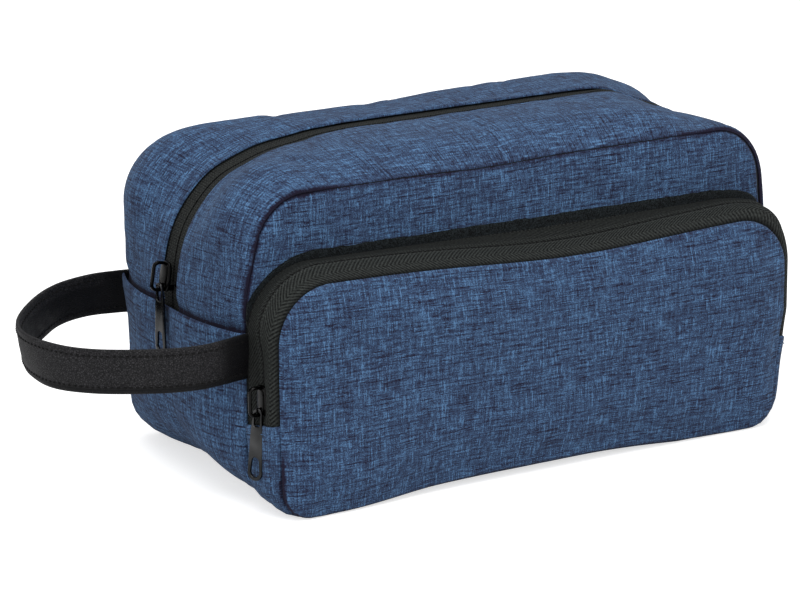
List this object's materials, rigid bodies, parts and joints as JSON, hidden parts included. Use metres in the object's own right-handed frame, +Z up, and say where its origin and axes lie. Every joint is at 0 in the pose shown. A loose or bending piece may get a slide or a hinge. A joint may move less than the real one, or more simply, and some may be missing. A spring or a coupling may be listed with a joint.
{
  "type": "shaving kit bag",
  "caption": "Padded cloth wash bag with a zip over its crown, a zipped front pocket and a carry strap loop on one end.",
  "frame": {"origin": "centre of the flat base, on the table", "axes": "+Z up, X along the bag with the carry strap at -X, the front pocket faces -Y"},
  "size_m": [0.3407, 0.1312, 0.1385],
  "materials": {
    "melange_cloth": "blue heather woven polyester",
    "foam_padding": "closed foam sheet",
    "lining": "plain woven polyester",
    "zip_tape": "black herringbone woven tape",
    "zip_coil": "black nylon coil",
    "black_metal": "glossy black",
    "strap_leather": "charcoal coated leather"
  },
  "bodies": {
    "bag": {"front_panel": "melange_cloth", "front_padding": "foam_padding", "front_lining": "lining", "back_panel": "melange_cloth", "back_padding": "foam_padding", "back_lining": "lining", "base_gusset": "melange_cloth", "base_padding": "foam_padding", "base_lining": "lining", "zip_gusset_front_left": "melange_cloth", "zip_gusset_front_right": "melange_cloth", "zip_gusset_back_left": "melange_cloth", "zip_gusset_back_right": "melange_cloth", "zip_lining_front_ends": "lining", "zip_lining_back_ends": "lining", "main_tape_front_ends": "zip_tape", "main_tape_back_ends": "zip_tape", "main_coil_front_ends": "zip_coil", "main_coil_back_ends": "zip_coil", "front_seam_binding": "zip_tape", "back_seam_binding": "zip_tape", "pocket_band": "zip_tape", "pocket_gusset": "melange_cloth", "pocket_rear_tape": "zip_tape", "pocket_rear_coil": "zip_coil", "pocket_front_tape_sides": "zip_tape", "pocket_front_coil_sides": "zip_coil", "pocket_face_lower": "melange_cloth", "strap_ends": "strap_leather"},
    "front_flap": {"front_flap": "melange_cloth", "front_flap_lining": "lining", "front_flap_tape": "zip_tape", "front_flap_coil": "zip_coil"},
    "back_flap": {"back_flap": "melange_cloth", "back_flap_lining": "lining", "back_flap_tape": "zip_tape", "back_flap_coil": "zip_coil"},
    "main_slider": {"main_slider": "black_metal", "main_slider_bail": "black_metal"},
    "main_pull": {"main_pull": "black_metal"},
    "pocket_slider": {"pocket_slider": "black_metal", "pocket_slider_bail": "black_metal"},
    "pocket_pull": {"pocket_pull": "black_metal"},
    "pocket_flap": {"pocket_flap_face": "melange_cloth", "pocket_flap_tape": "zip_tape", "pocket_flap_coil": "zip_coil"},
    "strap": {"strap_outer": "strap_leather", "strap_inner": "strap_leather"}
  },
  "joints": [
    {"name": "main_slider_travel", "type": "hinge", "parent": "bag", "child": "main_slider", "pos_m": [-0.075, 0, 0.077], "axis": [0, 1, 0], "range_deg": [0, 80]},
    {"name": "main_pull_swing", "type": "hinge", "parent": "main_slider", "child": "main_pull", "pos_m": [-0.13872, 0, 0.08284], "axis": [0, 1, 0], "range_deg": [0, 125]},
    {"name": "front_flap_open", "type": "hinge", "parent": "bag", "child": "front_flap", "pos_m": [0, -0.053, 0.128], "axis": [1, 0, 0], "range_deg": [0, 75]},
    {"name": "back_flap_open", "type": "hinge", "parent": "bag", "child": "back_flap", "pos_m": [0, 0.053, 0.128], "axis": [-1, 0, 0], "range_deg": [0, 75]},
    {"name": "pocket_slider_travel", "type": "slide", "parent": "bag", "child": "pocket_slider", "axis": [0, 0, 1], "range_m": [0, 0.012]},
    {"name": "pocket_pull_swing", "type": "hinge", "parent": "pocket_slider", "child": "pocket_pull", "pos_m": [-0.1262, -0.063, 0.0438], "axis": [0, 1, 0], "range_deg": [0, 135]},
    {"name": "pocket_flap_open", "type": "hinge", "parent": "bag", "child": "pocket_flap", "pos_m": [0, -0.077, 0.067], "axis": [1, 0, 0], "range_deg": [0, 60]},
    {"name": "strap_swing", "type": "hinge", "parent": "bag", "child": "strap", "pos_m": [-0.138, 0, 0.064], "axis": [0, 1, 0], "range_deg": [-25, 25], "stiffness_Nm_per_rad": 0.15}
  ]
}
